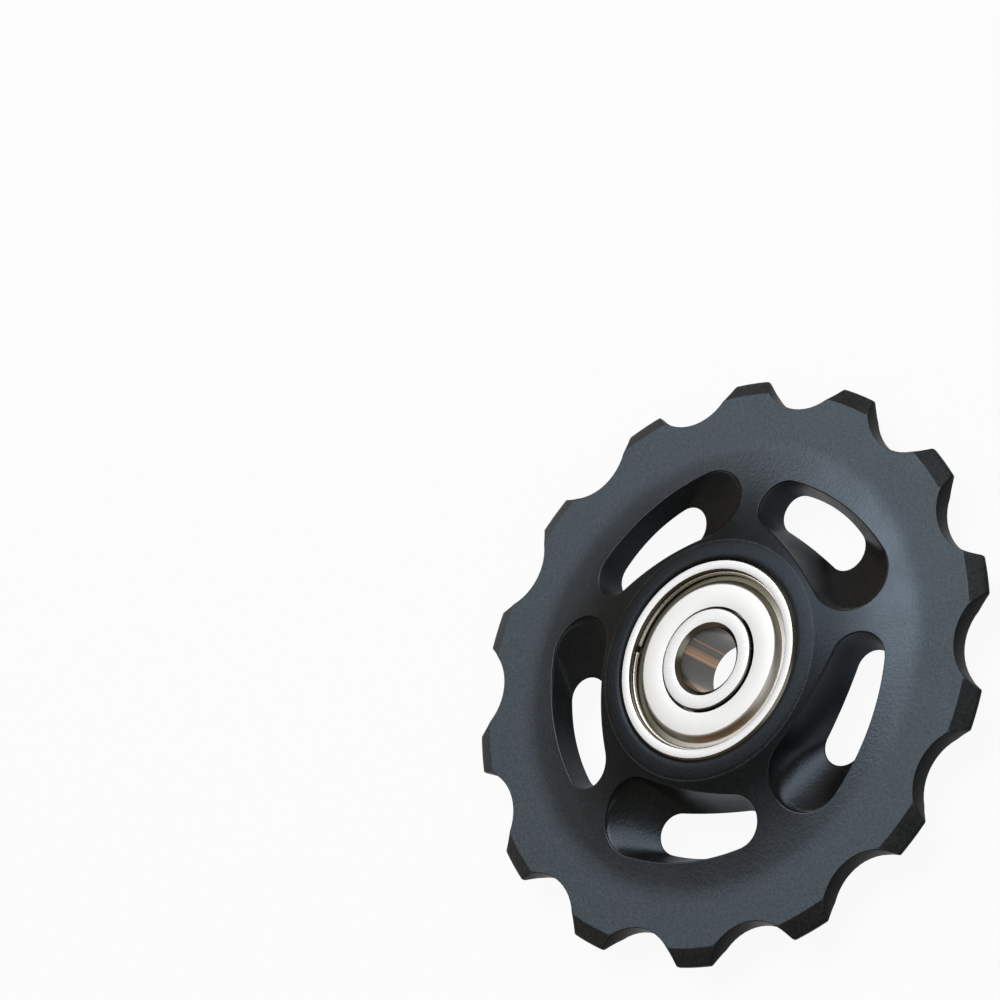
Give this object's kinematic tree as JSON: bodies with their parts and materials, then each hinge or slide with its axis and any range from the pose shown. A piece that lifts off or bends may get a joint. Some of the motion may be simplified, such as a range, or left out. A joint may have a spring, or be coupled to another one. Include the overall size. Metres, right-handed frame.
{
  "type": "derailleur jockey wheel",
  "caption": "Toothed guide wheel for a bicycle chain with swept slots through its dished web, turning on a shielded ball bearing pressed into its hub.",
  "frame": {"origin": "middle of the axle bore, in the wheel's middle plane", "axes": "+Z along the axle out of the front face, +X through the tip of a tooth"},
  "size_m": [0.055, 0.0542, 0.006],
  "materials": {
    "black_anodised": "matte blasted black anodising",
    "ground_steel": "ground and lightly polished",
    "shield_sheet": "satin pressed sheet",
    "spring_wire": "drawn wire",
    "cage_sheet": "pressed sheet",
    "polished_balls": "polished"
  },
  "bodies": {
    "axle_side": {"inner_ring": "ground_steel"},
    "wheel": {"wheel_body": "black_anodised", "outer_ring": "ground_steel", "shield_front": "shield_sheet", "shield_rear": "shield_sheet", "snap_wire_front": "spring_wire", "snap_wire_rear": "spring_wire"},
    "cage": {"cage_front": "cage_sheet", "cage_rear": "cage_sheet", "cage_rivet_1": "cage_sheet", "cage_rivet_2": "cage_sheet", "cage_rivet_3": "cage_sheet", "cage_rivet_4": "cage_sheet", "cage_rivet_5": "cage_sheet", "cage_rivet_6": "cage_sheet"},
    "rolling_ball_1": {"ball_1": "polished_balls"},
    "rolling_ball_2": {"ball_2": "polished_balls"},
    "rolling_ball_3": {"ball_3": "polished_balls"},
    "rolling_ball_4": {"ball_4": "polished_balls"},
    "rolling_ball_5": {"ball_5": "polished_balls"},
    "rolling_ball_6": {"ball_6": "polished_balls"}
  },
  "joints": [
    {"name": "wheel_spin", "type": "hinge", "parent": "axle_side", "child": "wheel", "pos_m": [0, 0, 0], "axis": [0, 0, 1], "continuous": true},
    {"name": "cage_spin", "type": "hinge", "parent": "axle_side", "child": "cage", "pos_m": [0, 0, 0], "axis": [0, 0, 1], "continuous": true},
    {"name": "ball_1_spin", "type": "hinge", "parent": "cage", "child": "rolling_ball_1", "pos_m": [0.00625, 0, 0], "axis": [0, 0, 1], "continuous": true},
    {"name": "ball_2_spin", "type": "hinge", "parent": "cage", "child": "rolling_ball_2", "pos_m": [0.00313, 0.00541, 0], "axis": [0, 0, 1], "continuous": true},
    {"name": "ball_3_spin", "type": "hinge", "parent": "cage", "child": "rolling_ball_3", "pos_m": [-0.00313, 0.00541, 0], "axis": [0, 0, 1], "continuous": true},
    {"name": "ball_4_spin", "type": "hinge", "parent": "cage", "child": "rolling_ball_4", "pos_m": [-0.00625, 0, 0], "axis": [0, 0, 1], "continuous": true},
    {"name": "ball_5_spin", "type": "hinge", "parent": "cage", "child": "rolling_ball_5", "pos_m": [-0.00313, -0.00541, 0], "axis": [0, 0, 1], "continuous": true},
    {"name": "ball_6_spin", "type": "hinge", "parent": "cage", "child": "rolling_ball_6", "pos_m": [0.00313, -0.00541, 0], "axis": [0, 0, 1], "continuous": true}
  ],
  "couplings": [
    {"joint": "cage_spin", "follows": "wheel_spin", "ratio": 0.64},
    {"joint": "ball_1_spin", "follows": "wheel_spin", "ratio": 1.6457},
    {"joint": "ball_2_spin", "follows": "wheel_spin", "ratio": 1.6457},
    {"joint": "ball_3_spin", "follows": "wheel_spin", "ratio": 1.6457},
    {"joint": "ball_4_spin", "follows": "wheel_spin", "ratio": 1.6457},
    {"joint": "ball_5_spin", "follows": "wheel_spin", "ratio": 1.6457},
    {"joint": "ball_6_spin", "follows": "wheel_spin", "ratio": 1.6457}
  ]
}
